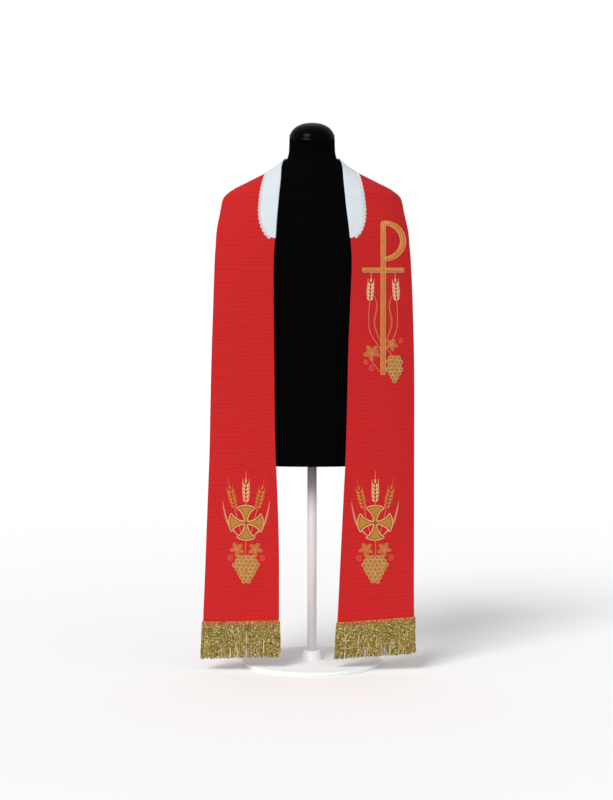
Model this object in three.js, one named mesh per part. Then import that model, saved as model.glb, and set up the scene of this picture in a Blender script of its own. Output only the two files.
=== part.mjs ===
// A clerical stole worn by a limbless dress form on a plain stand.
// Millimetres, +Z up, the front faces -Y. The origin is on the floor, under the stand's pole.
import * as THREE from "three";

// ---- driving dimensions ----
const CLOTH = 2; // the stole's wall: face cloth, interlining and back cloth
const GAP = 2.6; // from the dress form to the stole's inner face
const SEAM = 0.3; // between pieces that meet
const LIFT = 0.5; // from the stole's outer face to what is sewn on it
const FRINGE = { long: 78, thick: 5, past: 3 };
const BRAID = { high: 9, thick: 1.2 };
const COLLAR = { reach: 336, wide: 40, taper: 76, tip: 1.5, thick: 1 };
const LACE = { wide: 6, thick: 0.6 };
const CROSS = { radius: 41.5, spread: 0.56, thick: 0.8 };
const CAP = { radius: 53, high: 34, tilt: 0.28, fullness: 0.85 };
const POLE = { radius: 11, segments: 16 };
const BASE = { radius: 165, thick: 9, bevel: 3, boss: 24, bossTop: 20, bossHigh: 22 };
const SLANT = 6; // how late the sections start to lean towards the seam at the back

// How many steps each mesh takes along and across.
const STEPS = { hanging: 13, tips: 8, neck: 17, across: 5, collar: 3, fringe: 8, around: 40 };

const RED = { color: 0xc62a2c, roughness: 0.75, metalness: 0 };
const WHITE_COTTON = { color: 0xe6ebef, roughness: 0.8, metalness: 0 };
const GOLD_THREAD = { color: 0xb79a4a, roughness: 0.45, metalness: 0.4 };
const AMBER = { color: 0xcf8f2b, roughness: 0.5, metalness: 0.3 };
const BLACK_JERSEY = { color: 0x0b0b0c, roughness: 0.9, metalness: 0 };
const BLACK_PLASTIC = { color: 0x0e0e0e, roughness: 0.4, metalness: 0 };
const WHITE_STEEL = { color: 0xf0f0f0, roughness: 0.45, metalness: 0 };

// The dress form, as level rings: half its width, its front and back, how blunt the oval is
// (2 is an ellipse), and how far the ring leans forward, as rise per mm of depth.
const FORM_RINGS = [
  { z: 476, half: 158, front: -98, back: 110, blunt: 2.3, lean: 0 },
  { z: 560, half: 165, front: -100, back: 115, blunt: 2.3, lean: 0 },
  { z: 650, half: 156, front: -97, back: 108, blunt: 2.3, lean: 0 },
  { z: 750, half: 146, front: -97, back: 101, blunt: 2.3, lean: 0 },
  { z: 850, half: 154, front: -105, back: 103, blunt: 2.4, lean: 0 },
  { z: 930, half: 167, front: -110, back: 106, blunt: 2.5, lean: 0 },
  { z: 1000, half: 182, front: -107, back: 108, blunt: 2.5, lean: 0 },
  { z: 1040, half: 195, front: -99, back: 107, blunt: 2.4, lean: 0 },
  { z: 1064, half: 203, front: -92, back: 104, blunt: 2.3, lean: 0 },
  { z: 1082, half: 206, front: -86, back: 101, blunt: 2.3, lean: 0 },
  { z: 1098, half: 202, front: -81, back: 98, blunt: 2.2, lean: 0 },
  { z: 1112, half: 186, front: -76, back: 95, blunt: 2.15, lean: 0 },
  { z: 1136, half: 140, front: -69, back: 89, blunt: 2.05, lean: 0 },
  { z: 1160, half: 94, front: -60, back: 80, blunt: 2, lean: 0 },
  { z: 1179, half: 68, front: -53, back: 71, blunt: 2, lean: 0 },
  { z: 1193, half: 57.5, front: -49, back: 64, blunt: 2, lean: 0 },
  { z: 1209, half: 54, front: -50, back: 58, blunt: 2, lean: 0.08 },
  { z: 1226, half: 53.3, front: -52, back: 54, blunt: 2, lean: 0.18 },
  { z: 1239, half: 53, front: -54, back: 52, blunt: 2, lean: CAP.tilt },
];

// What the stole lies on, below the shoulders: it leaves the form and hangs. In front the ring is
// wider, because the band's outer edge hangs from the shoulder's end and turns to face forward.
const HANG_RINGS = [
  { z: 20, half: 500, halfBack: 206, front: -110, back: 110, blunt: 2 },
  { z: 119, half: 470, halfBack: 206, front: -110, back: 110, blunt: 2 },
  { z: 257, half: 400, halfBack: 206, front: -110, back: 110, blunt: 2 },
  { z: 476, half: 350, halfBack: 206, front: -110, back: 110, blunt: 2 },
  { z: 745, half: 320, halfBack: 206, front: -110, back: 110, blunt: 2 },
  { z: 860, half: 298, halfBack: 206, front: -111, back: 110, blunt: 2.05 },
  { z: 950, half: 272, halfBack: 206, front: -111, back: 111, blunt: 2.1 },
  { z: 1000, half: 252, halfBack: 210, front: -108.5, back: 112, blunt: 2.15 },
  { z: 1040, half: 235, halfBack: 211, front: -102, back: 110, blunt: 2.2 },
  { z: 1064, half: 224, halfBack: 211, front: -95, back: 107, blunt: 2.2 },
  { z: 1082, half: 215, halfBack: 210, front: -88.5, back: 103.5, blunt: 2.2 },
];
const SHOULDER_TOP = 1090;
const DRAPE_RINGS = [
  ...HANG_RINGS,
  ...FORM_RINGS.filter((r) => r.z > SHOULDER_TOP).map((r) => ({
    ...r,
    z: r.z + GAP,
    half: r.half + GAP,
    halfBack: r.half + GAP,
    front: r.front - GAP,
    back: r.back + GAP,
  })),
];

// The stole's two edges on each side, from the fringe's end in front, over the shoulder, to the
// seam at the centre of the back. x is measured outwards from the middle.
const EDGES = {
  left: {
    inner: [
      { x: 76.5, z: 34, at: "front" },
      { x: 76.4, z: 170, at: "front" },
      { x: 76.6, z: 285, at: "front" },
      { x: 79.5, z: 400, at: "front" },
      { x: 84.2, z: 515, at: "front" },
      { x: 86, z: 630, at: "front" },
      { x: 87, z: 745, at: "front" },
      { x: 88, z: 860, at: "front" },
      { x: 87.5, z: 960, at: "front" },
      { x: 84, z: 1010, at: "front" },
    ],
    outer: [
      { x: 257, z: 28, at: "front" },
      { x: 251, z: 170, at: "front" },
      { x: 246.5, z: 285, at: "front" },
      { x: 242, z: 400, at: "front" },
      { x: 237.5, z: 515, at: "front" },
      { x: 235, z: 630, at: "front" },
      { x: 232, z: 745, at: "front" },
      { x: 228, z: 860, at: "front" },
      { x: 223.5, z: 975, at: "front" },
      { x: 220.5, z: 1021, at: "front" },
    ],
  },
  right: {
    inner: [
      { x: 54, z: 29, at: "front" },
      { x: 61, z: 170, at: "front" },
      { x: 66.5, z: 285, at: "front" },
      { x: 72, z: 400, at: "front" },
      { x: 77.5, z: 515, at: "front" },
      { x: 80.5, z: 630, at: "front" },
      { x: 83, z: 745, at: "front" },
      { x: 87.5, z: 860, at: "front" },
      { x: 90.5, z: 950, at: "front" },
      { x: 87, z: 1010, at: "front" },
    ],
    outer: [
      { x: 238, z: 40, at: "front" },
      { x: 236.5, z: 170, at: "front" },
      { x: 236.5, z: 285, at: "front" },
      { x: 236.5, z: 400, at: "front" },
      { x: 236.5, z: 515, at: "front" },
      { x: 236.5, z: 630, at: "front" },
      { x: 235.5, z: 745, at: "front" },
      { x: 232, z: 860, at: "front" },
      { x: 226, z: 975, at: "front" },
      { x: 222, z: 1021, at: "front" },
    ],
  },
};
const OVER_SHOULDER = {
  inner: [
    { x: 79, z: 1078, at: "front" },
    { x: 73, z: 1140, at: "front" },
    { z: 1188, at: "side" },
    { x: 42, z: 1185, at: "back" },
    { x: 22, z: 1177, at: "back" },
    { x: SEAM / 2, z: 1173, at: "back" },
  ],
  outer: [
    { x: 213, z: 1064, at: "front" },
    { z: 1102, at: "side" },
    { x: 180, z: 1096, at: "back" },
    { x: 152, z: 1085, at: "back" },
    { x: 111, z: 1064, at: "back" },
    { x: 58, z: 1035, at: "back" },
    { x: SEAM / 2, z: 1018, at: "back" },
  ],
};

// ---- rings and the surface that the cloth lies on ----

// Slopes of a smooth curve through a column that never overshoots its rows.
function slopes(rows, name) {
  const rise = rows.slice(1).map((r, i) => (r[name] - rows[i][name]) / (r.z - rows[i].z));
  return rows.map((_, i) => {
    if (i === 0) return rise[0];
    if (i === rows.length - 1) return rise[i - 1];
    const [a, b] = [rise[i - 1], rise[i]];
    return a * b <= 0 ? 0 : (2 * a * b) / (a + b);
  });
}

function smoothTable(rows, names) {
  const slope = Object.fromEntries(names.map((n) => [n, slopes(rows, n)]));
  return (z) => {
    const last = rows.length - 2;
    const i = Math.min(last, Math.max(0, rows.findLastIndex((r) => r.z <= z)));
    const step = rows[i + 1].z - rows[i].z;
    const t = Math.min(1, Math.max(0, (z - rows[i].z) / step));
    const [a, b, c, d] = [
      (1 + 2 * t) * (1 - t) ** 2,
      t * (1 - t) ** 2 * step,
      t * t * (3 - 2 * t),
      t * t * (t - 1) * step,
    ];
    const read = (n) =>
      a * rows[i][n] + b * slope[n][i] + c * rows[i + 1][n] + d * slope[n][i + 1];
    return Object.fromEntries(names.map((n) => [n, read(n)]));
  };
}

const formRing = smoothTable(FORM_RINGS, ["half", "front", "back", "blunt", "lean"]);
const drapeRing = smoothTable(DRAPE_RINGS, ["half", "halfBack", "front", "back", "blunt"]);

// Zero on the draped surface, and above zero outside it.
function outside({ x, y, z }) {
  const r = drapeRing(z);
  const middle = (r.front + r.back) / 2;
  const half = y < middle ? r.half : r.halfBack;
  const across = Math.abs(x / half) ** r.blunt;
  return across + Math.abs((y - middle) / (r.back - middle)) ** r.blunt - 1;
}

function steepest(p) {
  const h = 0.02;
  return new THREE.Vector3(
    ...["x", "y", "z"].map((k) => {
      const [up, down] = [p.clone(), p.clone()];
      up[k] += h;
      down[k] -= h;
      return (outside(up) - outside(down)) / (2 * h);
    }),
  );
}

// Moves a point straight out or in until it lies on the draped surface.
function settle(start) {
  const p = start.clone();
  for (let turn = 0; turn < 8; turn += 1) {
    const slope = steepest(p);
    p.addScaledVector(slope, -outside(p) / slope.lengthSq());
  }
  return p;
}

function onDrape({ x, z, at }, side) {
  const r = drapeRing(z);
  const middle = (r.front + r.back) / 2;
  if (at === "side") return new THREE.Vector3(side * r.half, middle, z);
  const half = at === "front" ? r.half : r.halfBack;
  const reach = (1 - (x / half) ** r.blunt) ** (1 / r.blunt);
  const end = at === "front" ? r.front : r.back;
  return new THREE.Vector3(side * x, middle + (end - middle) * reach, z);
}

// ---- the stole's own coordinates: s along it from the fringe's end, v across from the neck edge ----

// An edge as close points on the draped surface, with the length up to each.
function measuredEdge(rows, side) {
  const curve = new THREE.CatmullRomCurve3(rows.map((r) => onDrape(r, side)));
  const points = curve.getPoints(rows.length * 16).map(settle);
  const along = [0];
  points.slice(1).forEach((p, i) => along.push(along[i] + p.distanceTo(points[i])));
  return { points, along, length: along.at(-1) };
}

function pointAt(edge, s) {
  const wanted = Math.min(edge.length, Math.max(0, s));
  const i = Math.min(edge.along.length - 2, edge.along.findLastIndex((a) => a <= wanted));
  const part = (wanted - edge.along[i]) / (edge.along[i + 1] - edge.along[i]);
  return edge.points[i].clone().lerp(edge.points[i + 1], part);
}

function makePanel(name, side) {
  const edges = ["inner", "outer"].map((k) =>
    measuredEdge([...EDGES[name][k], ...OVER_SHOULDER[k]], side),
  );
  const [inner, outer] = edges;
  // The seam at the back is cut aslant, so the sections lean only near it.
  const slant = (s) => (outer.length - inner.length) * (s / inner.length) ** SLANT;
  const section = (s) => [pointAt(inner, s), pointAt(outer, s + slant(s))];
  const width = (s) => section(s)[0].distanceTo(section(s)[1]);
  const at = (s, v, out) => {
    const [a, b] = section(s);
    const p = settle(a.lerp(b, v));
    return p.addScaledVector(steepest(p).normalize(), out);
  };
  return { name, side, length: inner.length, width, at };
}

const PANELS = [makePanel("left", -1), makePanel("right", 1)];

// ---- closed solids ----

function closedGeometry(points, faces) {
  const geometry = new THREE.BufferGeometry();
  geometry.setAttribute(
    "position",
    new THREE.Float32BufferAttribute(points.flatMap((p) => [p.x, p.y, p.z]), 3),
  );
  geometry.setIndex(faces.flat());
  geometry.computeVertexNormals();
  return geometry;
}

// Two grids of points, rows by columns, joined into one wall. flip turns its faces round.
function wall(near, far, flip) {
  const [rows, columns] = [near.length, near[0].length];
  const points = [...near.flat(), ...far.flat()];
  const n = (i, j) => i * columns + j;
  const f = (i, j) => rows * columns + n(i, j);
  const faces = [];
  const quad = (a, b, c, d) => faces.push([a, b, c], [a, c, d]);
  for (let i = 0; i < rows - 1; i += 1) {
    for (let j = 0; j < columns - 1; j += 1) {
      quad(n(i, j), n(i, j + 1), n(i + 1, j + 1), n(i + 1, j));
      quad(f(i, j), f(i + 1, j), f(i + 1, j + 1), f(i, j + 1));
    }
    const end = columns - 1;
    quad(n(i, 0), n(i + 1, 0), f(i + 1, 0), f(i, 0));
    quad(n(i, end), f(i, end), f(i + 1, end), n(i + 1, end));
  }
  for (let j = 0; j < columns - 1; j += 1) {
    const end = rows - 1;
    quad(n(0, j), f(0, j), f(0, j + 1), n(0, j + 1));
    quad(n(end, j), n(end, j + 1), f(end, j + 1), f(end, j));
  }
  return closedGeometry(points, flip ? faces.map(([a, b, c]) => [a, c, b]) : faces);
}

function grid(rows, columns, point) {
  return rows.map((r) => columns.map((c) => point(r, c)));
}

function spread(from, to, steps) {
  return Array.from({ length: steps + 1 }, (_, i) => from + ((to - from) * i) / steps);
}

// A solid from level rings of points, closed at both ends.
function ringedSolid(rings) {
  const count = rings[0].length;
  const points = rings.flat();
  const faces = [];
  for (let i = 0; i < rings.length - 1; i += 1) {
    for (let j = 0; j < count; j += 1) {
      const [a, b] = [i * count + j, i * count + ((j + 1) % count)];
      faces.push([a, b, b + count], [a, b + count, a + count]);
    }
  }
  const top = (rings.length - 1) * count;
  [rings[0], rings.at(-1)].forEach((ring, end) => {
    const middle = new THREE.Vector3();
    ring.forEach((p) => middle.addScaledVector(p, 1 / count));
    points.push(middle);
    for (let j = 0; j < count; j += 1) {
      const k = (j + 1) % count;
      faces.push(end ? [points.length - 1, top + j, top + k] : [points.length - 1, k, j]);
    }
  });
  return closedGeometry(points, faces);
}

const model = new THREE.Group();

function add(name, geometry, finish) {
  const mesh = new THREE.Mesh(geometry, new THREE.MeshStandardMaterial(finish));
  mesh.name = name;
  model.add(mesh);
  return mesh;
}

// ---- the stole ----

const HEM = FRINGE.long + SEAM;
const BELOW_TIPS = 25; // from the last hanging section up to the collar's tips

// Lengths from the seam at the back to each section round the neck, from the collar's tips.
const NECK_SECTIONS = [
  ...spread(COLLAR.reach, COLLAR.reach - COLLAR.taper, STEPS.tips),
  ...spread(COLLAR.reach - COLLAR.taper, 0, STEPS.neck).slice(1),
];

// Columns follow the collar's own near the neck edge, so that it lies on the panel's facets.
function panelColumns(width) {
  const neck = spread(0, COLLAR.wide, STEPS.collar).map((d) => d / width);
  const lace = (COLLAR.wide + SEAM + LACE.wide) / width;
  return [...neck, ...spread(lace, 1, STEPS.across)];
}

// Sections are far apart where the band hangs straight, and close over the shoulder.
function addPanel(panel) {
  const hanging = spread(HEM, panel.length - COLLAR.reach - BELOW_TIPS, STEPS.hanging);
  const rows = [...hanging, ...NECK_SECTIONS.map((c) => panel.length - c)];
  const layer = (out) =>
    rows.map((s) => panelColumns(panel.width(s)).map((v) => panel.at(s, v, out)));
  add(`stole_${panel.name}`, wall(layer(0), layer(CLOTH), panel.side > 0), RED);
}

// A strip on the stole's outer face, round the neck from the left tip to the right one. Its two
// edges are given as distances from the neck edge, for each length from the seam at the back.
function neckStrip(from, to, thick, columns) {
  const point = (panel, c, t, out) => {
    const s = panel.length - c;
    const d = from(c) + (to(c) - from(c)) * t;
    return panel.at(s, d / panel.width(s), out);
  };
  const [left, right] = PANELS;
  const stations = [
    ...NECK_SECTIONS.slice(0, -1).map((c) => [left, c]),
    ...NECK_SECTIONS.toReversed().map((c) => [right, c]),
  ];
  const layer = (out) =>
    grid(stations, spread(0, 1, columns), ([panel, c], t) => point(panel, c, t, out));
  return wall(layer(CLOTH + LIFT), layer(CLOTH + LIFT + thick), false);
}

// The collar guard is full width round the neck and rounds away to a tip in front.
function collarWidth(c) {
  const past = Math.max(0, (c - (COLLAR.reach - COLLAR.taper)) / COLLAR.taper);
  return Math.max(COLLAR.tip, COLLAR.wide * Math.sqrt(1 - Math.min(1, past) ** 2));
}

function addCollar() {
  add("collar_guard", neckStrip(() => 0, collarWidth, COLLAR.thick, STEPS.collar), WHITE_COTTON);
  const start = (c) => collarWidth(c) + SEAM;
  const end = (c) => start(c) + LACE.wide;
  add("collar_lace", neckStrip(start, end, LACE.thick, 1), WHITE_COTTON);
}

function addFringe(panel) {
  const wide = panel.width(HEM);
  const columns = spread(-FRINGE.past / wide, 1 + FRINGE.past / wide, STEPS.fringe);
  const slab = (rows, out) => grid(rows, columns, (s, v) => panel.at(s, v, out));
  const hang = spread(0, FRINGE.long, 2);
  const start = (CLOTH - FRINGE.thick) / 2;
  const fringe = wall(slab(hang, start), slab(hang, start + FRINGE.thick), panel.side > 0);
  add(`fringe_${panel.name}`, fringe, GOLD_THREAD);
  const band = [HEM, HEM + BRAID.high];
  const face = CLOTH + LIFT;
  const braid = wall(slab(band, face), slab(band, face + BRAID.thick), panel.side > 0);
  add(`braid_${panel.name}`, braid, AMBER);
}

// Half of an arm's width on the way from the cross's centre to its end, as shares of the radius.
const ARM = [
  { along: 0.085, half: 0.085 },
  { along: 0.22, half: 0.1 },
  { along: 0.42, half: 0.165 },
  { along: 0.66, half: 0.31 },
];
const ARM_DIRECTIONS = [[1, 0], [0, 1], [-1, 0], [0, -1]];
const ARM_ACROSS = spread(-1, 1, 4);

// One arm's points, row by row from the centre to the arc at its end.
function armRows([x, z]) {
  const rows = ARM.map((r) => ARM_ACROSS.map((t) => ({ along: r.along, across: t * r.half })));
  const end = ARM_ACROSS.map((t) => t * CROSS.spread);
  rows.push(end.map((turn) => ({ along: Math.cos(turn), across: Math.sin(turn) })));
  return rows.map((row) =>
    row.map((p) => ({
      x: CROSS.radius * (p.along * x - p.across * z),
      z: CROSS.radius * (p.along * z + p.across * x),
    })),
  );
}

// The faces of one layer and the edges round it, for a centre point and then the four arms' rows.
function crossFaces() {
  const [rows, columns] = [ARM.length + 1, ARM_ACROSS.length];
  const faces = [];
  const rim = [];
  ARM_DIRECTIONS.forEach((_, arm) => {
    const n = (i, j) => 1 + (arm * rows + i) * columns + j;
    for (let j = 0; j < columns - 1; j += 1) {
      faces.push([0, n(0, j), n(0, j + 1)]);
      rim.push([n(rows - 1, j), n(rows - 1, j + 1)]);
      for (let i = 0; i < rows - 1; i += 1) {
        faces.push([n(i, j), n(i + 1, j), n(i + 1, j + 1)]);
        faces.push([n(i, j), n(i + 1, j + 1), n(i, j + 1)]);
      }
    }
    for (let i = 0; i < rows - 1; i += 1) {
      rim.push([n(i, 0), n(i + 1, 0)]);
      rim.push([n(i + 1, columns - 1), n(i, columns - 1)]);
    }
  });
  return { faces, rim };
}

// A cross whose four arms widen outwards on hollow flanks, laid on a band's outer face.
function addCross(panel, centre) {
  const plan = [{ x: 0, z: 0 }, ...ARM_DIRECTIONS.flatMap((d) => armRows(d).flat())];
  const layer = (out) =>
    plan.map((corner) => {
      const place = { x: Math.abs(centre.x + corner.x), z: centre.z + corner.z, at: "front" };
      const p = onDrape(place, panel.side);
      return p.addScaledVector(steepest(p).normalize(), out);
    });
  const face = CLOTH + LIFT;
  const { faces, rim } = crossFaces();
  const far = (n) => n + plan.length;
  const solid = [
    ...faces.map(([a, b, c]) => [a, c, b]),
    ...faces.map(([a, b, c]) => [far(a), far(b), far(c)]),
    ...rim.flatMap(([a, b]) => [[a, b, far(b)], [a, far(b), far(a)]]),
  ];
  const points = [...layer(face), ...layer(face + CROSS.thick)];
  add(`cross_${panel.name}`, closedGeometry(points, solid), AMBER);
}

// ---- the dress form and its stand ----

const TORSO_LEVELS = [
  ...spread(476, 1000, 10),
  ...[1028, 1052, 1071, 1083, 1094, 1103, 1112, 1124, 1136, 1148, 1160],
  ...[1170, 1180, 1193, 1209, 1226, 1239],
];

function formPoint(z, turn) {
  const r = formRing(z);
  const middle = (r.front + r.back) / 2;
  const power = 2 / r.blunt;
  const [c, s] = [Math.cos(turn), Math.sin(turn)];
  const y = (r.back - middle) * Math.sign(s) * Math.abs(s) ** power;
  const x = r.half * Math.sign(c) * Math.abs(c) ** power;
  return new THREE.Vector3(x, middle + y, z + y * r.lean);
}

function addTorso() {
  const turns = spread(0, 2 * Math.PI, STEPS.around).slice(0, -1);
  const rings = TORSO_LEVELS.map((z) => turns.map((t) => formPoint(z, t)));
  add("torso", ringedSolid(rings), BLACK_JERSEY);
}

function turned(profile, segments) {
  const shape = profile.map(([r, z]) => new THREE.Vector2(r, z));
  return new THREE.LatheGeometry(shape, segments).rotateX(Math.PI / 2);
}

function addCap() {
  const dome = spread(0, 1, 7).map((t) => {
    const turn = (t * Math.PI) / 2;
    return [CAP.radius * Math.cos(turn) ** CAP.fullness, CAP.high * Math.sin(turn)];
  });
  dome[dome.length - 1][0] = 0;
  const cap = add("neck_cap", turned([[0, 0], ...dome], STEPS.around), BLACK_PLASTIC);
  const top = FORM_RINGS.at(-1);
  cap.rotation.x = Math.atan(CAP.tilt);
  cap.position.set(0, (top.front + top.back) / 2, top.z + SEAM);
}

function addStand() {
  const poleFoot = BASE.thick + BASE.bossHigh + SEAM;
  const tall = FORM_RINGS[0].z - SEAM - poleFoot;
  const pole = [[0, 0], [POLE.radius, 0], [POLE.radius, tall], [0, tall]];
  add("stand_pole", turned(pole, POLE.segments), WHITE_STEEL).position.z = poleFoot;
  const base = [
    [0, 0],
    [BASE.radius, 0],
    [BASE.radius, BASE.thick - BASE.bevel],
    [BASE.radius - BASE.bevel, BASE.thick],
    [BASE.boss, BASE.thick],
    [BASE.bossTop, BASE.thick + BASE.bossHigh],
    [0, BASE.thick + BASE.bossHigh],
  ];
  add("stand_base", turned(base, STEPS.around), WHITE_STEEL);
}

const CROSS_CENTRES = { left: { x: -152.5, z: 347 }, right: { x: 145.5, z: 347 } };

PANELS.forEach(addPanel);
addCollar();
PANELS.forEach(addFringe);
PANELS.forEach((panel) => addCross(panel, CROSS_CENTRES[panel.name]));
addTorso();
addCap();
addStand();

export default model;
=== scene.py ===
"""Looks for a clerical stole worn by a limbless dress form on a plain stand.

Sizes in the tables are millimetres, as in the CAD source; every mesh is made in metres.
"""
import math

import bpy
import numpy as np
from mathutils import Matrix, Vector


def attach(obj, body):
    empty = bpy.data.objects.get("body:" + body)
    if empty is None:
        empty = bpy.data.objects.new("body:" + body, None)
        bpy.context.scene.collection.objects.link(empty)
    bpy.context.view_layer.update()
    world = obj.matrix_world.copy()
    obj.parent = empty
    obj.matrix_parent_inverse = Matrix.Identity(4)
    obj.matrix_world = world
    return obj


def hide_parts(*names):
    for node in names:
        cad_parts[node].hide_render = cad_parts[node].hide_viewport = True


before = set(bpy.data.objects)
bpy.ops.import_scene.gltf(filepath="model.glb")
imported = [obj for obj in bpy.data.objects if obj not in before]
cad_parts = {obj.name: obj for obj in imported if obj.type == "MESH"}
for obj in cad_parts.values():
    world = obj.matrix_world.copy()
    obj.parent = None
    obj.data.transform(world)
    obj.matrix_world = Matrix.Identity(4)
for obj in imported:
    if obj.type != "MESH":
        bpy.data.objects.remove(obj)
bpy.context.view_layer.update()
MM = 0.001
RNG = np.random.default_rng(7)
SCENE = bpy.context.scene

# ---- camera, in metres ----

CAMERA_AT = (-0.013, -4.61, 0.9)
LOOK_AT = (-0.013, -0.11, 0.632)
FRAME_TALL = 1.84  # of the bands' plane, from the picture's top to its bottom
SENSOR = 36  # mm


def add_camera():
    data = bpy.data.cameras.new("camera")
    camera = bpy.data.objects.new("camera", data)
    SCENE.collection.objects.link(camera)
    aim = Vector(LOOK_AT) - Vector(CAMERA_AT)
    data.sensor_width = SENSOR
    data.lens = SENSOR * aim.length / FRAME_TALL
    camera.location = CAMERA_AT
    camera.rotation_euler = aim.to_track_quat("-Z", "Y").to_euler()
    SCENE.camera = camera


add_camera()

# ---- sizes shared with the CAD source ----

CLOTH = 2  # the wall: face cloth, interlining and back cloth together
GAP = 2.6  # from the form's shoulders to the cloth
SEAM = 0.3  # between pieces that meet edge to edge
LIFT = 0.5  # between the cloth and what lies on it
SLANT = 6  # the higher, the later a band's cross-lines begin to lean on the way to the back
SHOULDER_TOP = 1090  # above this height the cloth follows the form itself
FRINGE = {"long": 78, "past": 3}
BRAID_HIGH = 9
COLLAR = {"reach": 336, "wide": 40, "taper": 76, "tip": 1.5}
LACE_WIDE = 6
CROSS_RADIUS = 41.5
CAP = {"radius": 53, "high": 34, "tilt": 0.28}
BASE = {"radius": 165, "thick": 9, "bevel": 3, "boss": 24, "boss_top": 20, "boss_high": 22}
POLE_RADIUS = 11
HEM = FRINGE["long"] + SEAM


def table(names, rows):
    """Named columns of a short table, as arrays."""
    return {name: np.array(column, float) for name, column in zip(names.split(), zip(*rows))}


FORM = table("z half front back blunt lean", [
    (476, 158, -98, 110, 2.3, 0),
    (560, 165, -100, 115, 2.3, 0),
    (650, 156, -97, 108, 2.3, 0),
    (750, 146, -97, 101, 2.3, 0),
    (850, 154, -105, 103, 2.4, 0),
    (930, 167, -110, 106, 2.5, 0),
    (1000, 182, -107, 108, 2.5, 0),
    (1040, 195, -99, 107, 2.4, 0),
    (1064, 203, -92, 104, 2.3, 0),
    (1082, 206, -86, 101, 2.3, 0),
    (1098, 202, -81, 98, 2.2, 0),
    (1112, 186, -76, 95, 2.15, 0),
    (1136, 140, -69, 89, 2.05, 0),
    (1160, 94, -60, 80, 2, 0),
    (1179, 68, -53, 71, 2, 0),
    (1193, 57.5, -49, 64, 2, 0),
    (1209, 54, -50, 58, 2, 0.08),
    (1226, 53.3, -52, 54, 2, 0.18),
    (1239, 53, -54, 52, 2, CAP["tilt"]),
])
HANG_NAMES = "z half half_back front back blunt"
HANG = [
    (20, 500, 206, -110, 110, 2),
    (119, 470, 206, -110, 110, 2),
    (257, 400, 206, -110, 110, 2),
    (476, 350, 206, -110, 110, 2),
    (745, 320, 206, -110, 110, 2),
    (860, 298, 206, -111, 110, 2.05),
    (950, 272, 206, -111, 111, 2.1),
    (1000, 252, 210, -108.5, 112, 2.15),
    (1040, 235, 211, -102, 110, 2.2),
    (1064, 224, 211, -95, 107, 2.2),
    (1082, 215, 210, -88.5, 103.5, 2.2),
]
OVER_FORM = [
    (z + GAP, half + GAP, half + GAP, front - GAP, back + GAP, blunt)
    for z, half, front, back, blunt in zip(*(FORM[k] for k in "z half front back blunt".split()))
    if z > SHOULDER_TOP
]
DRAPE = table(HANG_NAMES, HANG + OVER_FORM)

# The stole's edges in front: x outwards from the middle, and z.
EDGES = {
    ("left", "inner"): [
        (76.5, 34), (76.4, 170), (76.6, 285), (79.5, 400),
        (84.2, 515), (86, 630), (87, 745), (88, 860),
        (87.5, 960), (84, 1010),
    ],
    ("left", "outer"): [
        (257, 28), (251, 170), (246.5, 285), (242, 400),
        (237.5, 515), (235, 630), (232, 745), (228, 860),
        (223.5, 975), (220.5, 1021),
    ],
    ("right", "inner"): [
        (54, 29), (61, 170), (66.5, 285), (72, 400),
        (77.5, 515), (80.5, 630), (83, 745), (87.5, 860),
        (90.5, 950), (87, 1010),
    ],
    ("right", "outer"): [
        (238, 40), (236.5, 170), (236.5, 285), (236.5, 400),
        (236.5, 515), (236.5, 630), (235.5, 745), (232, 860),
        (226, 975), (222, 1021),
    ],
}
# And on from there over the shoulder, with where on its ring each point lies.
OVER_SHOULDER = {
    "inner": [
        (79, 1078, "front"), (73, 1140, "front"), (0, 1188, "side"), (42, 1185, "back"),
        (22, 1177, "back"), (SEAM / 2, 1173, "back"),
    ],
    "outer": [
        (213, 1064, "front"), (0, 1102, "side"), (180, 1096, "back"), (152, 1085, "back"),
        (111, 1064, "back"), (58, 1035, "back"), (SEAM / 2, 1018, "back"),
    ],
}

# ---- the surface that the cloth lies on ----


def reader(columns, names):
    """A function of z that runs smoothly through each named column and never overshoots it."""
    z = columns["z"]
    step = np.diff(z)
    slope = {}
    for name in names:
        rise = np.diff(columns[name]) / step
        product = rise[:-1] * rise[1:]
        total = np.where(product > 0, rise[:-1] + rise[1:], 1)
        slope[name] = np.concatenate(
            [rise[:1], np.where(product > 0, 2 * product / total, 0), rise[-1:]]
        )

    def read(at):
        i = np.clip(np.searchsorted(z, at, side="right") - 1, 0, len(z) - 2)
        t = np.clip((at - z[i]) / step[i], 0, 1)
        a, b = (1 + 2 * t) * (1 - t) ** 2, t * (1 - t) ** 2 * step[i]
        c, d = t * t * (3 - 2 * t), t * t * (t - 1) * step[i]
        return [
            a * columns[n][i] + b * slope[n][i] + c * columns[n][i + 1] + d * slope[n][i + 1]
            for n in names
        ]

    return read


form_ring = reader(FORM, "half front back blunt lean".split())
drape_ring = reader(DRAPE, "half half_back front back blunt".split())


def outside(p):
    """Zero on the draped surface, and above zero outside it, for rows of x, y, z."""
    half, half_back, front, back, blunt = drape_ring(p[:, 2])
    middle = (front + back) / 2
    wide = np.where(p[:, 1] < middle, half, half_back)
    across = np.abs(p[:, 0] / wide) ** blunt
    return across + np.abs((p[:, 1] - middle) / (back - middle)) ** blunt - 1


PROBE = 0.02  # how far to each side of a point its slope is read
SETTLING_STEPS = 8


def steepest(p):
    steps = np.eye(3) * PROBE
    return np.stack([(outside(p + step) - outside(p - step)) / (2 * PROBE) for step in steps], axis=1)


def settle(p):
    """Moves points straight out or in until they lie on the draped surface."""
    for _ in range(SETTLING_STEPS):
        slope = steepest(p)
        p = p - slope * (outside(p) / (slope**2).sum(1))[:, None]
    return p


def turns(count):
    """Equal steps round a circle."""
    return np.arange(count) * 2 * math.pi / count


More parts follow.
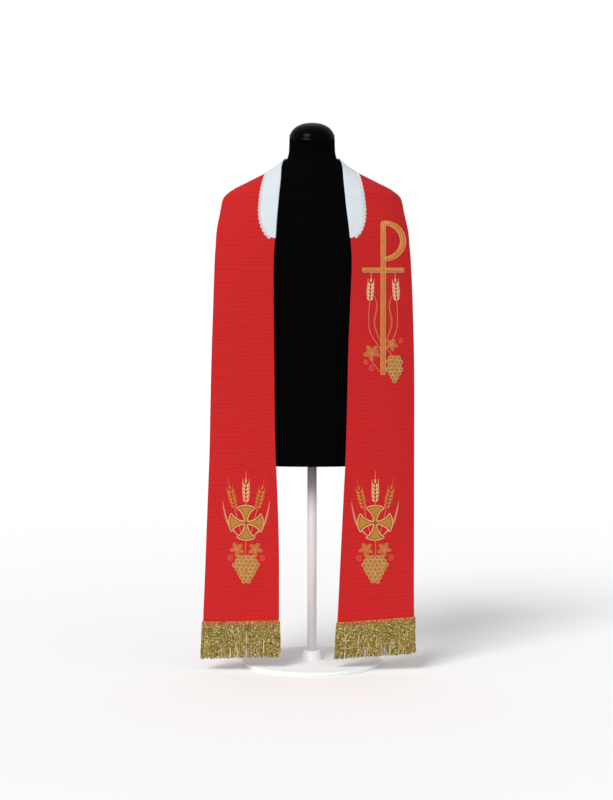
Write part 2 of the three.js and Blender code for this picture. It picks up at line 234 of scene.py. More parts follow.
def circle(angles, radius=1):
    """Points at those angles, in a plane."""
    return np.stack([radius * np.cos(angles), radius * np.sin(angles)], axis=1)


def matched(*values):
    """Numbers and arrays brought to one shape, and laid out in a row."""
    return [np.ravel(v).astype(float) for v in np.broadcast_arrays(*values)]


def unit(v):
    return v / np.linalg.norm(v, axis=-1, keepdims=True)


def on_drape(x, z, at, side):
    """The point of the draped surface at that x and z, on its front, its back or its side."""
    half, half_back, front, back, blunt = (v[0] for v in drape_ring(np.array([float(z)])))
    middle = (front + back) / 2
    if at == "side":
        return [side * half, middle, z]
    half = half if at == "front" else half_back
    reach = (1 - (x / half) ** blunt) ** (1 / blunt)
    return [side * x, middle + ((front if at == "front" else back) - middle) * reach, z]


def smooth_line(points, steps):
    """Close points of a centripetal Catmull-Rom curve through the given ones."""
    p = np.vstack([2 * points[0] - points[1], points, 2 * points[-1] - points[-2]])
    at = np.linspace(0, len(points) - 1, steps + 1)
    i = np.minimum(at.astype(int), len(points) - 2)
    t = (at - i)[:, None]
    gap = np.linalg.norm(np.diff(p, axis=0), axis=1)[:, None] ** 0.5
    before, here, after = gap[i], gap[i + 1], gap[i + 2]
    p0, p1, p2, p3 = (p[i + k] for k in range(4))
    start = ((p1 - p0) / before - (p2 - p0) / (before + here) + (p2 - p1) / here) * here
    end = ((p2 - p1) / here - (p3 - p1) / (here + after) + (p3 - p2) / after) * here
    return p1 + start * t + (3 * (p2 - p1) - 2 * start - end) * t**2 + (
        2 * (p1 - p2) + start + end
    ) * t**3


def along(points):
    return np.concatenate([[0], np.linalg.norm(np.diff(points, axis=0), axis=1).cumsum()])


# Soft troughs (below zero) and ridges of the cloth: on the front (-1) or the back, where they
# run, how deep and how wide.
CREASES = table("side face x0 z0 x1 z1 deep wide", [
    (-1, -1, 118, 560, 104, 140, -1.6, 17),
    (-1, -1, 196, 480, 214, 110, -2.2, 22),
    (-1, -1, 150, 300, 168, 100, 1.3, 20),
    (-1, -1, 190, 960, 206, 640, -1.0, 20),
    (-1, -1, 110, 900, 120, 700, 0.9, 18),
    (-1, -1, 196, 1060, 150, 1000, -1.1, 13),
    (1, -1, 92, 520, 84, 120, -1.9, 19),
    (1, -1, 190, 420, 205, 90, -1.8, 20),
    (1, -1, 132, 260, 128, 100, 1.2, 18),
    (1, -1, 120, 700, 108, 560, -1.0, 17),
    (1, -1, 214, 900, 222, 600, -1.0, 15),
    (1, -1, 198, 1058, 160, 1010, -1.0, 12),
    (-1, 1, 60, 1152, 112, 1070, -0.9, 12),
    (-1, 1, 120, 1122, 150, 1090, 0.8, 10),
    (1, 1, 78, 1148, 122, 1078, -0.8, 14),
    (1, 1, 30, 1150, 40, 1060, 0.8, 13),
])


def relief(p):
    """How far the cloth stands off the draped surface at each point, from its creases."""
    out = np.zeros(len(p))
    for side, face, x0, z0, x1, z1, deep, wide in zip(*CREASES.values()):
        line = np.array([side * (x1 - x0), z1 - z0])
        length = np.hypot(*line)
        line = line / length
        off = p[:, [0, 2]] - [side * x0, z0]
        run = off @ line / length
        away = np.abs(off @ [line[1], -line[0]]) / wide
        fade = np.clip(1 - np.abs(2 * run - 1), 0, 1)
        out += deep * fade * fade * (3 - 2 * fade) * np.exp(-away * away) * (p[:, 1] * face > 0)
    return out


def lifted(p, out):
    """Points moved off the draped surface by out, on top of the cloth's relief."""
    return p + unit(steepest(p)) * (out + relief(p))[:, None]


class Panel:
    """One half of the stole: s along it from the fringe's end, v across from the neck edge."""

    def __init__(self, name, side):
        self.name, self.side = name, side
        lines = {}
        for edge in ("inner", "outer"):
            rows = [(x, z, "front") for x, z in EDGES[name, edge]] + OVER_SHOULDER[edge]
            points = np.array([on_drape(x, z, at, side) for x, z, at in rows])
            points = settle(smooth_line(points, len(rows) * 16))
            lines[edge] = (along(points), points)
        self.lines = lines
        self.length = lines["inner"][0][-1]
        self.extra = lines["outer"][0][-1] - self.length

    def edge(self, name, s):
        lengths, points = self.lines[name]
        return np.stack([np.interp(s, lengths, points[:, k]) for k in range(3)], axis=-1)

    def section(self, s):
        s = np.asarray(s, float)
        return self.edge("inner", s), self.edge("outer", s + self.extra * (s / self.length) ** SLANT)

    def width(self, s):
        a, b = self.section(s)
        return np.linalg.norm(b - a, axis=-1)

    def at(self, s, v, out):
        s, v, out = matched(s, v, out)
        a, b = self.section(s)
        return lifted(settle(a + (b - a) * v[:, None]), out)


PANELS = [Panel("left", -1), Panel("right", 1)]


def on_front(x, z, out):
    """Points of the bands' face seen from in front at x and z, raised by out over its surface."""
    x, z, out = matched(x, z, out)
    half, _, front, back, blunt = drape_ring(z)
    middle = (front + back) / 2
    y = middle + (front - middle) * (1 - np.abs(x / half) ** blunt) ** (1 / blunt)
    return lifted(np.stack([x, y, z], axis=1), out)


# ---- meshes ----


def make(name, points, faces, materials, smooth=True, uv=None, slots=None):
    """A mesh object from points in millimetres. uv is one pair for each point, in metres."""
    mesh = bpy.data.meshes.new(name)
    mesh.from_pydata((np.asarray(points) * MM).tolist(), [], [tuple(map(int, f)) for f in faces])
    if uv is not None:
        corners = np.zeros(len(mesh.loops), np.int32)
        mesh.loops.foreach_get("vertex_index", corners)
        layer = mesh.uv_layers.new(name="UVMap")
        layer.data.foreach_set("uv", np.asarray(uv, np.float32)[corners].ravel())
    mesh.polygons.foreach_set("use_smooth", [smooth] * len(mesh.polygons))
    for material in materials:
        mesh.materials.append(material)
    if slots is not None:
        mesh.polygons.foreach_set("material_index", slots)
    mesh.update()
    obj = bpy.data.objects.new(name, mesh)
    SCENE.collection.objects.link(obj)
    return obj


def kept(obj, slot, *nodes):
    """Puts a finished piece in the frame."""
    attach(obj, "root")
    if nodes:
        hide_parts(*nodes)
    return obj


def grid_faces(rows, columns, start=0, wrap=False):
    i, j = np.meshgrid(np.arange(rows - 1), np.arange(columns if wrap else columns - 1), indexing="ij")
    a = start + i * columns + j
    b = start + i * columns + (j + 1) % columns
    return np.stack([a, b, b + columns, a + columns], axis=-1).reshape(-1, 4)


def tubes(rings, first=0):
    """Faces of a closed tube whose rings are rows of one array, with flat ends."""
    count, around = rings
    faces = grid_faces(count, around, first, wrap=True).tolist()
    faces.append([first + k for k in range(around)][::-1])
    last = first + (count - 1) * around
    faces.append([last + k for k in range(around)])
    return faces


def edge_steps(length, step, lip):
    """Stations over a length that crowd towards both ends, where the edge is rounded."""
    ends = np.array([0, 0.15, 0.5, 1.0]) * lip
    middle = np.linspace(lip * 2.2, length - lip * 2.2, max(2, round(length / step)))
    return np.concatenate([ends, middle, (length - ends)[::-1]])


def rounded(far_a, far_b, lip):
    """From 0 at a border to 1 a lip's width inside it, along a quarter circle."""
    near = np.clip(np.minimum(far_a, far_b) / lip, 0, 1)
    return np.sqrt(1 - (1 - near) ** 2)


def lathe(name, profile, segments, material, at=(0, 0, 0), tilt=0.0):
    """A turned solid from radius and height pairs, top and bottom on the axis."""
    angles = turns(segments)
    rings = [np.column_stack([circle(angles, r), np.full(segments, z)]) for r, z in profile[1:-1]]
    points = np.vstack([*rings, [0, 0, profile[0][1]], [0, 0, profile[-1][1]]])
    faces = grid_faces(len(rings), segments, wrap=True).tolist()
    count, last = len(rings) * segments, (len(rings) - 1) * segments
    for k in range(segments):
        following = (k + 1) % segments
        faces.append([count, following, k])
        faces.append([count + 1, last + k, last + following])
    c, s = math.cos(tilt), math.sin(tilt)
    turn = np.array([[1, 0, 0], [0, c, -s], [0, s, c]])
    return make(name, points @ turn.T + at, faces, [material])


# ---- materials ----


def linear(red, green, blue):
    """A colour given as 0 to 255 values, as linear light with alpha."""
    parts = [c / 255 for c in (red, green, blue)]
    return [c / 12.92 if c <= 0.04045 else ((c + 0.055) / 1.055) ** 2.4 for c in parts] + [1.0]


class Finish:
    """A Principled material built up node by node."""

    def __init__(self, name, roughness, specular=0.5, metallic=0.0, sheen=0.0):
        self.material = bpy.data.materials.new(name)
        self.material.use_nodes = True
        self.nodes = self.material.node_tree.nodes
        self.links = self.material.node_tree.links
        self.shader = self.nodes["Principled BSDF"]
        self.shader.inputs["Roughness"].default_value = roughness
        self.shader.inputs["Specular IOR Level"].default_value = specular
        self.shader.inputs["Metallic"].default_value = metallic
        self.shader.inputs["Sheen Weight"].default_value = sheen
        self.place = self.nodes.new("ShaderNodeTexCoord")

    def put(self, socket, value):
        if isinstance(value, bpy.types.NodeSocket):
            self.links.new(value, socket)
        else:
            socket.default_value = value

    def node(self, kind, settings=(), **inputs):
        made = self.nodes.new("ShaderNode" + kind)
        for key, value in dict(settings).items():
            setattr(made, key, value)
        for key, value in inputs.items():
            self.put(made.inputs[key.replace("_", " ")], value)
        return made

    def moved(self, kind="UV", scale=(1, 1, 1), turn=(0, 0, 0)):
        mapping = self.node("Mapping", Vector=self.place.outputs[kind])
        mapping.inputs["Scale"].default_value = scale
        mapping.inputs["Rotation"].default_value = turn
        return mapping.outputs["Vector"]

    def noise(self, scale, detail=2.0, vector=None, rough=0.5):
        vector = vector or self.place.outputs["Object"]
        made = self.node("TexNoise", Vector=vector, Scale=scale, Detail=detail, Roughness=rough)
        return made.outputs["Fac"]

    def waves(self, scale, vector, direction="Y", distortion=0.0, detail_scale=1.0):
        made = self.node("TexWave", {"bands_direction": direction}, Vector=vector, Scale=scale,
                         Distortion=distortion, Detail=2.0, Detail_Scale=detail_scale)
        return made.outputs["Fac"]

    def ramp(self, fac, *stops):
        made = self.node("ValToRGB", Fac=fac)
        elements = made.color_ramp.elements
        while len(elements) < len(stops):
            elements.new(0.5)
        for element, (at, color) in zip(elements, stops):
            element.position = at
            element.color = color
        return made.outputs["Color"]

    def level(self, fac, low, high):
        return self.node("MapRange", Value=fac, To_Min=low, To_Max=high).outputs["Result"]

    def times(self, a, b):
        made = self.nodes.new("ShaderNodeMath")
        made.operation = "MULTIPLY"
        self.put(made.inputs[0], a)
        self.put(made.inputs[1], b)
        return made.outputs[0]

    def tinted(self, color, fac, low, high):
        """A colour made lighter and darker between low and high by a texture."""
        made = self.nodes.new("ShaderNodeVectorMath")
        made.operation = "SCALE"
        self.put(made.inputs[0], color if isinstance(color, bpy.types.NodeSocket) else color[:3])
        self.put(made.inputs["Scale"], self.level(fac, low, high))
        return made.outputs[0]

    def color(self, value):
        self.put(self.shader.inputs["Base Color"], value)

    def rough(self, fac, low, high):
        self.put(self.shader.inputs["Roughness"], self.level(fac, low, high))

    def bump(self, *layers):
        """Height textures with their depth in metres, one over the other."""
        normal = None
        for height, depth in layers:
            made = self.node("Bump", Height=height, Distance=depth)
            if normal is not None:
                self.put(made.inputs["Normal"], normal)
            normal = made.outputs["Normal"]
        self.put(self.shader.inputs["Normal"], normal)


def red_cloth():
    f = Finish("red_ribbed_cloth", 0.75, specular=0.08)
    cloth = f.moved()
    ribs = f.waves(350, cloth, "Y", 0.6, 3.0)
    threads = f.waves(600, cloth, "X", 0.4, 3.0)
    water = f.waves(34, f.moved(scale=(0.16, 1, 1), turn=(0, 0, 0.05)), "Y", 5.0, 1.8)
    patches = f.noise(14, 3.0)
    color = f.tinted(linear(196, 36, 37), water, 0.93, 1.04)
    f.color(f.tinted(color, patches, 0.95, 1.05))
    f.rough(patches, 0.62, 0.78)
    f.bump((ribs, 0.00012), (threads, 0.00006), (f.noise(500, 2.0), 0.00004))
    return f.material


def white_cotton():
    f = Finish("white_cotton", 0.8, specular=0.25, sheen=0.08)
    weave = f.times(f.waves(420, f.moved(), "X", 0.3), f.waves(420, f.moved(), "Y", 0.3))
    slub = f.noise(40, 4.0, f.moved(scale=(1, 9, 1)))
    f.color(f.tinted(linear(214, 222, 228), slub, 0.93, 1.01))
    f.rough(slub, 0.74, 0.88)
    f.bump((weave, 0.00012), (slub, 0.00008))
    return f.material


def lace_thread():
    f = Finish("lace_thread", 0.7, specular=0.3, sheen=0.1)
    twist = f.waves(900, f.moved("Object", turn=(0.4, 0.5, 0.6)), "X", 1.5)
    f.color(f.tinted(linear(240, 236, 238), f.noise(300, 2.0), 0.9, 1.02))
    f.rough(twist, 0.6, 0.8)
    f.bump((twist, 0.00006))
    return f.material


# grain sets the size of the painted glint and shade speckle, and of the roughness noise.
METAL = {"shine": 0.3, "grain": 300, "relief": 0.0002}


def metal_thread(name, dark, middle, light):
    """Twisted metallic yarn: its gold, with painted shade (dark) and painted glints (light) speckled
    over it by noise.
    """
    f = Finish(name, 0.4, metallic=METAL["shine"])
    glint_and_shade_speckle = f.noise(METAL["grain"], 3.0, rough=0.7)
    # The dark stop is painted shade between the strands and the light stop is painted glints; the
    # middle stop is the gold itself.
    f.color(f.ramp(glint_and_shade_speckle, (0.4, dark), (0.47, middle), (0.55, middle), (0.62, light)))
    f.rough(f.noise(METAL["grain"] * 0.6, 2.0), 0.28, 0.6)
    twist = f.waves(420, f.moved(turn=(0, 0, 0.8)), "X", 0.8)
    f.bump((twist, METAL["relief"]), (glint_and_shade_speckle, METAL["relief"]))
    return f.material


def satin_thread(name, color, shine, pitch=900):
    """Embroidery floss laid side by side across each stroke, with painted shade in the grooves between
    threads and painted highlight on their crowns.
    """
    f = Finish(name, 0.45, metallic=shine, sheen=0.1)
    floss = f.waves(pitch, f.moved(), "X", 0.5, 2.0)
    shaded = [c * 0.82 for c in color[:3]] + [1.0]
    # The floss waves darken the colour in the grooves and lighten it on the crowns: painted shade and
    # painted highlight.
    f.color(f.tinted(f.ramp(f.noise(260, 2.0), (0.35, shaded), (0.65, color)), floss, 0.86, 1.06))
    f.rough(floss, 0.35, 0.6)
    f.bump((floss, 0.00015))
    return f.material


def black_jersey():
    f = Finish("black_jersey", 0.95, specular=0.015)
    knit = f.times(f.waves(260, f.moved(), "X", 0.8), f.waves(330, f.moved(), "Y", 0.8))
    f.color(f.tinted([0.0015, 0.0015, 0.0017, 1], f.noise(30, 3.0), 0.8, 1.25))
    f.rough(f.noise(90, 2.0), 0.86, 1.0)
    f.bump((knit, 0.0001), (f.noise(420, 2.0), 0.00005))
    return f.material


def black_plastic():
    f = Finish("black_plastic", 0.3, specular=0.04)
    f.color(f.tinted([0.0005, 0.0005, 0.0005, 1], f.noise(60, 2.0), 0.85, 1.15))
    f.rough(f.noise(160, 3.0), 0.12, 0.2)
    f.bump((f.noise(900, 2.0), 0.00003))
    return f.material


def white_steel():
    f = Finish("white_powder_coat", 0.45, specular=0.4)
    f.color(f.tinted(linear(242, 242, 243), f.noise(8, 3.0), 0.97, 1.01))
    f.rough(f.noise(120, 3.0), 0.38, 0.52)
    f.bump((f.noise(1400, 2.0), 0.00006))
    return f.material


RED = red_cloth()
COTTON = white_cotton()
LACE = lace_thread()
# For both golds the first colour is painted shade and the last is painted glints; the middle one is
# the gold.
FRINGE_GOLD = metal_thread("fringe_gold", linear(84, 68, 16), linear(176, 152, 70),
                           linear(255, 240, 172))
BRAID_GOLD = metal_thread("braid_gold", linear(150, 70, 30), linear(208, 132, 66),
                          linear(255, 214, 150))
AMBER = satin_thread("amber_lame", linear(214, 141, 44), 0.35, 700)
DARK = satin_thread("dark_outline", linear(128, 66, 24), 0.05)
PALE = satin_thread("pale_satin", linear(252, 200, 132), 0.1)
WHEAT = satin_thread("wheat_floss", linear(250, 214, 164), 0.1)
LEAF = satin_thread("leaf_floss", linear(216, 112, 46), 0.2)
ORANGE = satin_thread("orange_floss", linear(226, 136, 54), 0.25)
STEM = satin_thread("stem_floss", linear(236, 142, 104), 0.05)
GRAPE = satin_thread("grape_floss", linear(196, 122, 42), 0.2)
OLIVE = satin_thread("olive_floss", linear(230, 190, 112), 0.2)
FLOSS = [AMBER, DARK, PALE, WHEAT, LEAF, ORANGE, STEM, GRAPE, OLIVE]
JERSEY = black_jersey()
PLASTIC = black_plastic()
STEEL = white_steel()

# ---- the stole ----

PANEL_STEP = {"along": 6, "across": 4.5}
USUAL_WIDTH = 150  # the width that the steps across a band are worked out for
LIP = 1.3  # how far in from a border the cloth's edge is rounded


def add_panel(panel):
    """A closed shell of the cloth's thickness with rounded edges."""
    length = panel.length - HEM
    s = edge_steps(length, PANEL_STEP["along"], LIP)
    share = edge_steps(USUAL_WIDTH, PANEL_STEP["across"], LIP) / USUAL_WIDTH
    rows, columns = len(s), len(share)
    ss, vv = matched((HEM + s)[:, None], share)
    width = panel.width(ss)
    full = rounded(np.minimum(ss - HEM, panel.length - ss), np.minimum(vv, 1 - vv) * width, LIP)
    outer = panel.at(ss, vv, CLOTH / 2 * (1 + full))
    inner = panel.at(ss, vv, CLOTH / 2 * (1 - full))
    edge = np.isclose(full, 0)
    number = np.where(edge, np.arange(rows * columns), 0)
    number[~edge] = rows * columns + np.arange((~edge).sum())
    outward = grid_faces(rows, columns)
    if panel.side > 0:
        outward = outward[:, ::-1]
    faces = np.concatenate([outward[:, ::-1], number[outward]])
    points = np.vstack([outer, inner[~edge]])
    flat = np.stack([vv * width * MM, ss * MM], axis=1)
    uv = np.vstack([flat, flat[~edge]])
    piece = make(f"cloth_{panel.name}", points, faces, [RED], uv=uv)
    return kept(piece, "red_cloth", f"stole_{panel.name}")


def collar_width(c):
    """The guard's width at a length from the back seam, rounded off at its tips."""
    past = np.clip((c - (COLLAR["reach"] - COLLAR["taper"])) / COLLAR["taper"], 0, 1)
    return np.maximum(COLLAR["tip"], COLLAR["wide"] * np.sqrt(1 - past**2))


def neck_stations(step):
    """Left tip to right tip round the neck, as signed lengths from the seam at the back."""
    count = 2 * round(COLLAR["reach"] / step)
    turn = np.linspace(-1, 1, count + 1)
    return COLLAR["reach"] * np.sign(turn) * (1 - (1 - np.abs(turn)) ** 1.25)


def round_neck(c, d, out):
    """Points at signed length c from the back seam and distance d from the neck edge."""
    c, d, out = matched(c, d, out)
    points = np.zeros((len(c), 3))
    for panel in PANELS:
        mine = (c < 0) == (panel.side < 0)
        s = panel.length - np.abs(c[mine])
        points[mine] = panel.at(s, d[mine] / panel.width(s), out[mine])
    return points


# The guard's section: distance from the neck edge as a share of its width and in mm, and its
# height over the draped surface. It starts under the cloth, turns over the edge and lies on it.
GUARD_SECTION = table("share extra out", [
    (0, 5, -0.75),
    (0, 2, -0.8),
    (0, -0.6, -0.5),
    (0, -1.25, 1.0),
    (0, -0.6, 2.75),
    (0, 1.2, 3.1),
    (0.12, 0.8, 3.05),
    (0.35, 0, 3.0),
    (0.6, 0, 3.0),
    (0.82, 0, 3.0),
    (1, -1.6, 3.1),
    (1, -0.3, 2.95),
    (1, 0, 2.65),
    (1, -0.4, 2.4),
    (0.82, 0, 2.35),
    (0.5, 0, 2.35),
    (0.2, 0, 2.35),
    (0, 0.6, 2.3),
    (0, -0.5, 1.0),
    (0, 0.3, -0.2),
    (0, 5, -0.25),
])


GUARD_STEP = 4
NARROW = 8  # where the guard is narrower than this, its turned edge shrinks with it
PUFF = {"high": 0.25, "long": 13}  # the slight waves along the guard's face


def add_guard():
    """A strip that starts under the cloth, folds round the neck edge and lies on the face."""
    c = neck_stations(GUARD_STEP)
    wide = collar_width(np.abs(c))
    share, extra, out = (GUARD_SECTION[k] for k in ("share", "extra", "out"))
    shrink = np.clip(wide / NARROW, 0.15, 1)[:, None]
    d = wide[:, None] * share + extra * shrink
    puff = PUFF["high"] * np.sin(c / PUFF["long"])[:, None] * np.sin(math.pi * share)
    points = round_neck(c[:, None], d, out + puff)
    around = len(share)
    faces = [f[::-1] for f in tubes((len(c), around))]
    uv = np.stack([d.ravel() * MM, np.repeat(c, around) * MM], axis=1)
    return kept(make("guard", points, faces, [COTTON], uv=uv), "white_cotton", "collar_guard")


ASKEW = [0.31, 0.17, 0.93]  # a direction that no thread here runs along


def round_tube(line, radius, sides):
    """Rings of a tube along close points. radius is a number or one for each point."""
    ahead = unit(np.gradient(line, axis=0))
    flat = unit(np.cross(ahead, ASKEW))
    up = np.cross(ahead, flat)
    turn = turns(sides)
    r = np.broadcast_to(radius, len(line))[:, None, None]
    rings = np.cos(turn)[None, :, None] * flat[:, None] + np.sin(turn)[None, :, None] * up[:, None]
    return (line[:, None] + r * rings).reshape(-1, 3)


class Pile:
    """Many closed pieces gathered into one mesh."""

    def __init__(self):
        self.points, self.faces, self.uv, self.slots, self.count = [], [], [], [], 0

    def add(self, points, faces, uv=None, slot=0):
        self.points.append(points)
        self.faces.extend([[k + self.count for k in f] for f in faces])
        self.uv.append(np.zeros((len(points), 2)) if uv is None else uv)
        self.slots.extend([slot] * len(faces))
        self.count += len(points)

    def tube(self, line, radius, sides):
        """A round thread, with its girth unrolled as 4 mm of texture."""
        rings = round_tube(line, radius, sides)
        length = np.repeat(along(line) * MM, sides)
        turn = np.tile(np.arange(sides) / sides * 4 * MM, len(line))
        self.add(rings, tubes((len(line), sides)), np.stack([length, turn], axis=1))

    def object(self, name, materials):
        return make(name, np.vstack(self.points), self.faces, materials,
                    uv=np.vstack(self.uv), slots=self.slots)


SCALLOP = 9.6  # from one lace scallop to the next
LACE_LEVEL = 0.35  # height of the threads' centres over what they lie on
SCALLOP_ARCS = [(LACE_WIDE - 0.6, 0.7), (LACE_WIDE - 2.4, 0.42)]  # reach and thread radius
HEADING_THREADS = [(0.3, 0.6), (1.5, 0.4)]  # distance from the guard and thread radius


def add_lace():
    """Heading threads, scallops of a thick thread, and a fan of fine bars in each."""
    sample = neck_stations(1.0)
    sample = sample[np.abs(sample) < COLLAR["reach"] - 2]
    start = collar_width(np.abs(sample)) + SEAM
    rim = round_neck(sample, start, CLOTH + LIFT)
    run = along(rim)
    up = unit(steepest(settle(rim)))
    away = np.cross(unit(np.gradient(rim, axis=0)), up)
    toward = round_neck(sample, start + 1, CLOTH + LIFT) - rim
    away *= np.sign((away * toward).sum(1))[:, None]
    pile = Pile()

    def follow(t, rows):
        return np.stack([np.interp(t, run, rows[:, k]) for k in range(3)], axis=1)

    def thread(t, d, radius, sides):
        """A thread at lengths t along the guard's rim and distances d out from it."""
        line = follow(t, rim) + follow(t, away) * d[:, None] + follow(t, up) * LACE_LEVEL
        pile.tube(line, radius, sides)

    count = round(run[-1] / SCALLOP)
    step = run[-1] / count
    for distance, radius in HEADING_THREADS:
        t = np.linspace(0, run[-1], count * 8)
        thread(t, np.full(len(t), distance), radius, 5)
    half_turn = np.linspace(0, math.pi, 11)
    bar_share = np.linspace(0.15, 1, 3)
    picot = np.linspace(0, math.pi, 5)
    for k in range(count):
        middle = (k + 0.5) * step
        for far, radius in SCALLOP_ARCS:
            t = middle - np.cos(half_turn) * step * 0.5 * far / LACE_WIDE
            thread(t, 1.0 + np.sin(half_turn) * (far - 1.0), radius, 5)
        for share in (0.16, 0.33, 0.5, 0.67, 0.84):
            a = share * math.pi
            t = middle - math.cos(a) * step * 0.45 * bar_share
            thread(t, 1.0 + math.sin(a) * (LACE_WIDE - 1.8) * bar_share, 0.38, 4)
        for share in (0.2, 0.4, 0.6, 0.8):
            a = share * math.pi + np.linspace(-0.14, 0.14, 5)
            d = LACE_WIDE - 2.2 + np.sin(a) * 1.6 + np.sin(picot) * 0.7
            thread(middle - np.cos(a) * step * 0.48, d, 0.4, 4)
    return kept(pile.object("lace_edge", [LACE]), "white_lace", "collar_lace")


# ---- fringe and braid ----

CORD = {"radius": 0.95, "pitch": 6.0}
FRINGE_ROWS = [("front", 96, 2.6, 80), ("back", 86, 0.3, 34)]  # cords, height, points in each
UNEVEN = 5  # how much shorter than the longest a cord may be
STRAY_SHARE = 0.08  # the share of cords that are shorter again by as much


def add_fringe(panel):
    """Two rows of twisted bullion cords, uneven in length and slightly wavy."""
    pile = Pile()
    wide = panel.width(HEM)
    past = FRINGE["past"]
    radius = CORD["radius"]
    for row, count, level, steps in FRINGE_ROWS:
        t = np.linspace(0, 1, steps)
        for k in range(count):
            base = (wide + 2 * past) * (k + 0.5 + RNG.uniform(-0.2, 0.2)) / count - past
            end = RNG.uniform(0, UNEVEN) + (RNG.random() < STRAY_SHARE) * UNEVEN
            s = HEM - 0.5 - t * (HEM - end)
            phase, swing, lean = RNG.uniform(0, 6.3), RNG.uniform(0.3, 0.9), RNG.normal(0, 1.1)
            across = base + swing * np.sin(t * RNG.uniform(6, 14) + phase) * t + lean * t
            out = level + 0.7 * np.sin(t * RNG.uniform(5, 11) + phase * 2) * t
            line = panel.at(np.maximum(s, 0), across / wide, out)
            if row == "back":
                pile.tube(line, radius * (1.3 + 0.2 * np.sin(t * 80 + phase)), 5)
                continue
            turn = 2 * math.pi * t * HEM / CORD["pitch"] + phase
            for ply in (0, math.pi):
                side = np.stack([np.cos(turn + ply), np.sin(turn + ply), 0 * turn], axis=1)
                pile.tube(line + side * radius * 0.62, radius * 0.75, 4)
    return kept(pile.object(f"bullion_{panel.name}", [FRINGE_GOLD]), "gold_fringe",
                f"fringe_{panel.name}")


TAPE = {"past": 2.4, "thick": 0.5, "inset": 0.2, "steps": 60}
GIMP = {"past": 2.2, "swing": 0.85, "rise": 0.5, "radius": 0.62, "half_twist": 3.4, "steps": 420}
GIMP_ROWS = (1.6, 4.5, 7.4)


def add_braid(panel):
    """The fringe's heading: a flat tape with three rows of gimp twisted over it."""
    pile = Pile()
    wide = panel.width(HEM + 4)
    face = CLOTH + LIFT
    low, high, thick = TAPE["inset"], BRAID_HIGH - TAPE["inset"], TAPE["thick"]
    section = [(low, 0), (low, thick), (high, thick), (high, 0)]
    across = np.linspace(-TAPE["past"], wide + TAPE["past"], TAPE["steps"]) / wide
    rings = np.stack([panel.at(HEM + d, across, face + out) for d, out in section], axis=1)
    pile.add(rings.reshape(-1, 3), tubes((TAPE["steps"], 4)))
    t = np.linspace(0, 1, GIMP["steps"])
    turn = t * wide / GIMP["half_twist"] * math.pi
    for row in GIMP_ROWS:
        for ply in (0, math.pi):
            d = HEM + row + GIMP["swing"] * np.cos(turn + ply)
            out = face + 0.75 + GIMP["rise"] * np.sin(turn + ply)
            line = panel.at(d, (t * (wide + 2 * GIMP["past"]) - GIMP["past"]) / wide, out)
            pile.tube(line, GIMP["radius"], 5)
    return kept(pile.object(f"heading_{panel.name}", [BRAID_GOLD]), "gold_braid",
                f"braid_{panel.name}")


# ---- embroidery ----

FACE = CLOTH + 0.05  # where stitching starts, over the draped surface
# A ribbon's section, as shares of its half width and of its height.
RIBBON_ACROSS = np.array([-1, -0.6, 0, 0.6, 1, 0])
RIBBON_RISE = np.array([0, 0.72, 1, 0.72, 0, -0.25])
# A patch's rings, as shares of its outline and of its height, and how far it sinks in.
PATCH_RINGS = np.array([1, 0.93, 0.75, 0.45])
PATCH_RISE = np.array([0, 0.7, 0.95, 1.0])
PATCH_SUNK = -0.3


def sideways(line, closed=False):
    """Unit vectors to the left of a line, in its plane."""
    ahead = np.roll(line, -1, 0) - np.roll(line, 1, 0) if closed else np.gradient(line, axis=0)
    return unit(np.stack([-ahead[:, 1], ahead[:, 0]], axis=1))


class Stitching(Pile):
    """Satin stitch drawn in the plane seen from in front, laid on the bands."""

    def __init__(self, x, z, mirror=1):
        super().__init__()
        self.x, self.z, self.mirror = x, z, mirror

    def lay(self, flat, out):
        return on_front(self.x + self.mirror * flat[..., 0], self.z + flat[..., 1], out)

    def sew(self, points, faces, uv, floss, facing):
        """Adds a closed piece, whose faces look out where facing is the drawing's mirror."""
        if facing != self.mirror:
            faces = [f[::-1] for f in faces]
        self.add(points, faces, uv, FLOSS.index(floss))

    def stroke(self, line, half, high, floss, closed=False):
        """A raised ribbon along a line of points; half is its half width."""
        side = sideways(line, closed)
        if closed:
            line, side = np.vstack([line, line[:1]]), np.vstack([side, side[:1]])
        across = RIBBON_ACROSS * np.broadcast_to(half, len(line))[:, None]
        flat = line[:, None] + side[:, None] * across[..., None]
        points = self.lay(flat, np.broadcast_to(FACE + RIBBON_RISE * high, across.shape))
        around = len(RIBBON_ACROSS)
        uv = np.stack([np.repeat(along(line), around), across.ravel()], axis=1) * MM
        self.sew(points, tubes((len(line), around)), uv, floss, -1)

    def patch(self, outline, high, floss, centre):
        """A filled shape with rounded shoulders. Its outline turns anticlockwise."""
        centre = np.asarray(centre, float)
        rings = [centre + (outline - centre) * share for share in PATCH_RINGS]
        flat = np.vstack([rings[0], *rings, [centre], [centre]])
        count = len(outline)
        rise = np.repeat(np.append(PATCH_SUNK, PATCH_RISE), count)
        out = FACE + np.append(rise, [1, PATCH_SUNK]) * high
        faces = grid_faces(len(rings) + 1, count, wrap=True).tolist()
        inmost, top = len(rings) * count, (len(rings) + 1) * count
        for k in range(count):
            following = (k + 1) % count
            faces.append([inmost + k, inmost + following, top])
            faces.append([following, k, top + 1])
        self.sew(self.lay(flat, out), faces, flat * MM, floss, 1)


def turned(points, angle, at=(0, 0)):
    c, s = math.cos(angle), math.sin(angle)
    return np.asarray(points, float) @ np.array([[c, s], [-s, c]]) + at


def curve(*points, steps):
    return smooth_line(np.array(points, float), steps)


def spindle(length, steps=7):
    """A straight line and half widths that swell in the middle, as shares of the length."""
    t = np.linspace(0, 1, steps)
    return np.stack([0 * t, t * length], axis=1), np.sin(math.pi * np.clip(t, 0.02, 0.98)) ** 0.7


GRAIN_PAIRS = 5


